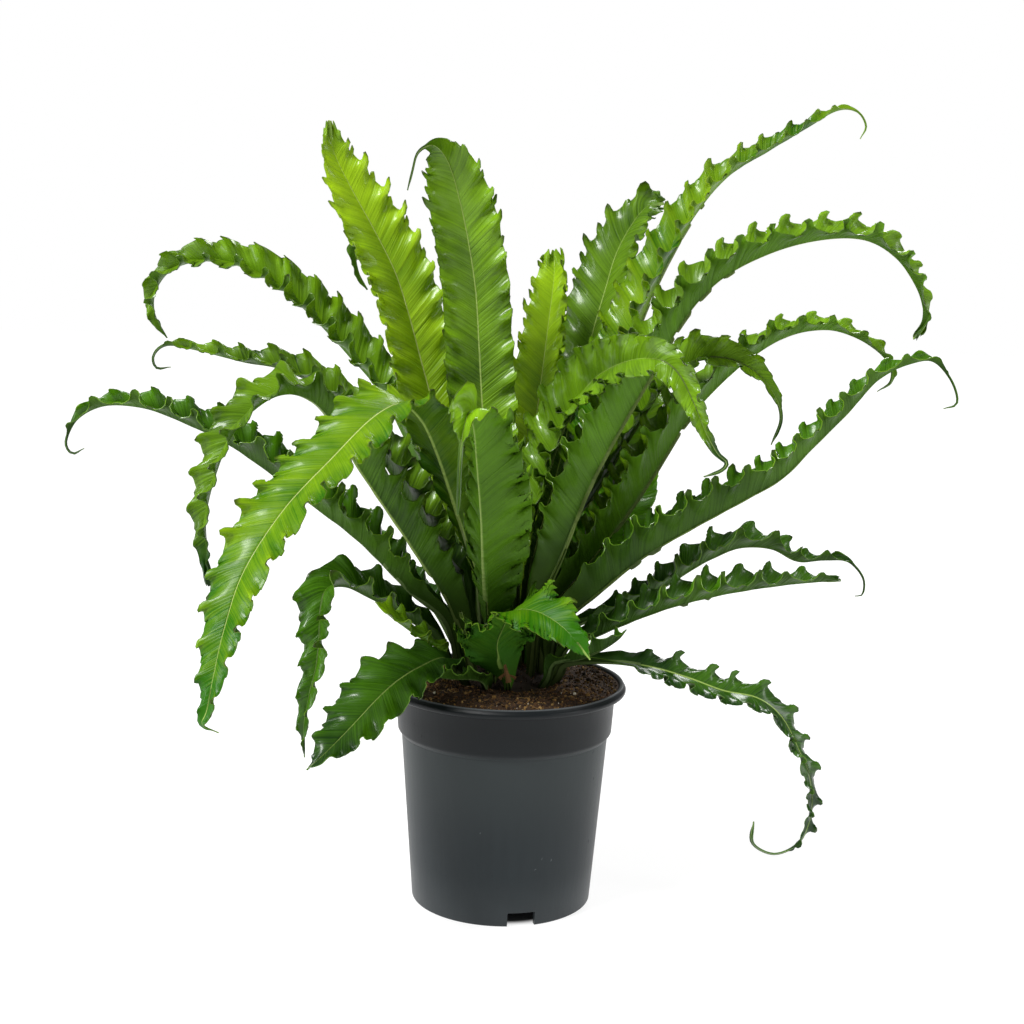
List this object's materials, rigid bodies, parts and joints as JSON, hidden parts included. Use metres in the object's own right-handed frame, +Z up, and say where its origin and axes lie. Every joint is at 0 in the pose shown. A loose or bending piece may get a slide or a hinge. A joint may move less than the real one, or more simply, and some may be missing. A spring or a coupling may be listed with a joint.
{
  "type": "potted bird's nest fern",
  "caption": "Wavy bird's nest fern with strap-shaped, toothed fronds that arch out of a central crown, planted in a tapered round nursery pot.",
  "frame": {"origin": "on the pot's axis to within a few millimetres of the middle of the plant's spread, on the surface that the pot stands on", "axes": "+X to the right of the pictured side and along the widest spread, +Y to the back, +Z up"},
  "size_m": [0.7621, 0.5584, 0.7374],
  "materials": {
    "pot": "satin anthracite moulded plastic",
    "soil": "damp peat and bark crumbs",
    "crown": "matted brown roots and scales",
    "frond": "glossy green leaf",
    "frond_young": "glossy yellow-green leaf",
    "frond_old": "dull dark green leaf"
  },
  "bodies": {
    "root": {"pot": "pot", "soil": "soil", "crown": "crown", "frond_left_high": "frond", "frond_left_thin": "frond", "frond_left_reach": "frond_old", "frond_left_loop": "frond", "frond_left_bright": "frond_young", "frond_left_droop": "frond_old", "frond_left_low": "frond_old", "frond_left_young": "frond_young", "frond_soil_short": "frond_old", "frond_upright_left": "frond_young", "frond_upright_middle": "frond", "frond_upright_young": "frond_young", "frond_upright_right": "frond", "frond_right_tall": "frond_young", "frond_right_high": "frond", "frond_right_arch": "frond", "frond_right_reach": "frond_old", "frond_middle_fold": "frond", "frond_right_fold": "frond", "frond_right_low_upper": "frond_old", "frond_right_low": "frond_old", "frond_right_droop": "frond_old", "frond_front_bright": "frond_young", "frond_front_coiled": "frond", "frond_right_short": "frond_old", "frond_back_left_hook": "frond", "frond_back_left_high": "frond", "frond_back_left_low": "frond_old", "frond_back_middle": "frond", "frond_back_right_high": "frond", "frond_back_right_low": "frond_old", "frond_back_low": "frond_old"}
  },
  "joints": []
}
